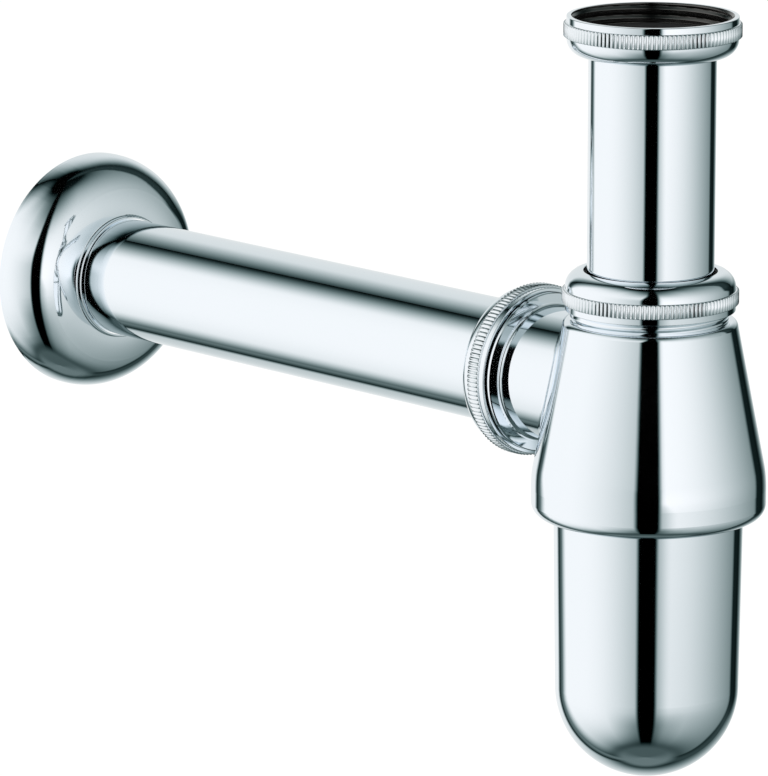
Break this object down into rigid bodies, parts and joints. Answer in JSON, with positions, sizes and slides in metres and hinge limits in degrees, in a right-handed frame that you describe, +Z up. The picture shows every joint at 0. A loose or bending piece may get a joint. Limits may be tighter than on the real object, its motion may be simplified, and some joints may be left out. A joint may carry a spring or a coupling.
{
  "type": "basin bottle trap",
  "caption": "Chromed bottle trap for a wash basin: dip tube with knurled union nuts, conical body, screw-on round cup, side waste pipe and round wall flange.",
  "frame": {"origin": "centre of the inlet nut's mouth, where the tail of the basin waste screws in", "axes": "+Z up along the dip tube, out of the inlet; +Y along the waste pipe, towards the wall"},
  "size_m": [0.0648, 0.2632, 0.1954],
  "materials": {
    "chrome": "polished chrome plate on brass",
    "rubber": "matt black rubber",
    "slip_plastic": "natural white low-friction plastic"
  },
  "bodies": {
    "dip_tube": {"dip_tube": "chrome", "inlet_washer": "rubber"},
    "inlet_nut": {"inlet_nut": "chrome"},
    "neck_seal": {"neck_seal": "rubber"},
    "trap_body": {"trap_body": "chrome", "outlet_seal": "rubber"},
    "neck_slip_ring": {"neck_slip_ring": "slip_plastic"},
    "neck_nut": {"neck_nut": "chrome"},
    "cup_gasket": {"cup_gasket": "rubber"},
    "cup": {"cup": "chrome"},
    "outlet_slip_ring": {"outlet_slip_ring": "slip_plastic"},
    "outlet_nut": {"outlet_nut": "chrome"},
    "waste_pipe": {"waste_pipe": "chrome"},
    "wall_flange": {"wall_flange": "chrome"}
  },
  "joints": [
    {"name": "inlet_nut_turn", "type": "hinge", "parent": "dip_tube", "child": "inlet_nut", "pos_m": [0, 0, 0], "axis": [0, 0, 1], "continuous": true},
    {"name": "height_slide", "type": "slide", "parent": "dip_tube", "child": "neck_seal", "axis": [0, 0, 1], "range_m": [-0.03, 0.018]},
    {"name": "body_swivel", "type": "hinge", "parent": "neck_seal", "child": "trap_body", "pos_m": [0, 0, -0.07], "axis": [0, 0, 1], "continuous": true},
    {"name": "neck_ring_lift", "type": "slide", "parent": "trap_body", "child": "neck_slip_ring", "axis": [0, 0, 1], "range_m": [0, 0.00465]},
    {"name": "neck_nut_turn", "type": "hinge", "parent": "neck_slip_ring", "child": "neck_nut", "pos_m": [0, 0, -0.07], "axis": [0, 0, 1], "range_deg": [0, 720]},
    {"name": "cup_drop", "type": "slide", "parent": "trap_body", "child": "cup_gasket", "axis": [0, 0, -1], "range_m": [0, 0.00805]},
    {"name": "cup_turn", "type": "hinge", "parent": "cup_gasket", "child": "cup", "pos_m": [0, 0, -0.1235], "axis": [0, 0, -1], "range_deg": [0, 1440]},
    {"name": "outlet_ring_shift", "type": "slide", "parent": "trap_body", "child": "outlet_slip_ring", "axis": [0, 1, 0], "range_m": [0, 0.00465]},
    {"name": "outlet_nut_turn", "type": "hinge", "parent": "outlet_slip_ring", "child": "outlet_nut", "pos_m": [0, 0.0405, -0.09665], "axis": [0, 1, 0], "range_deg": [0, 720]},
    {"name": "pipe_slide", "type": "slide", "parent": "trap_body", "child": "waste_pipe", "axis": [0, 1, 0], "range_m": [-0.006, 0.01]},
    {"name": "flange_slide", "type": "slide", "parent": "waste_pipe", "child": "wall_flange", "axis": [0, -1, 0], "range_m": [0, 0.135]}
  ],
  "couplings": [
    {"joint": "neck_ring_lift", "follows": "neck_nut_turn", "m_per_rad": 0.00036749},
    {"joint": "cup_drop", "follows": "cup_turn", "m_per_rad": 0.00031831},
    {"joint": "outlet_ring_shift", "follows": "outlet_nut_turn", "m_per_rad": 0.00036749}
  ]
}
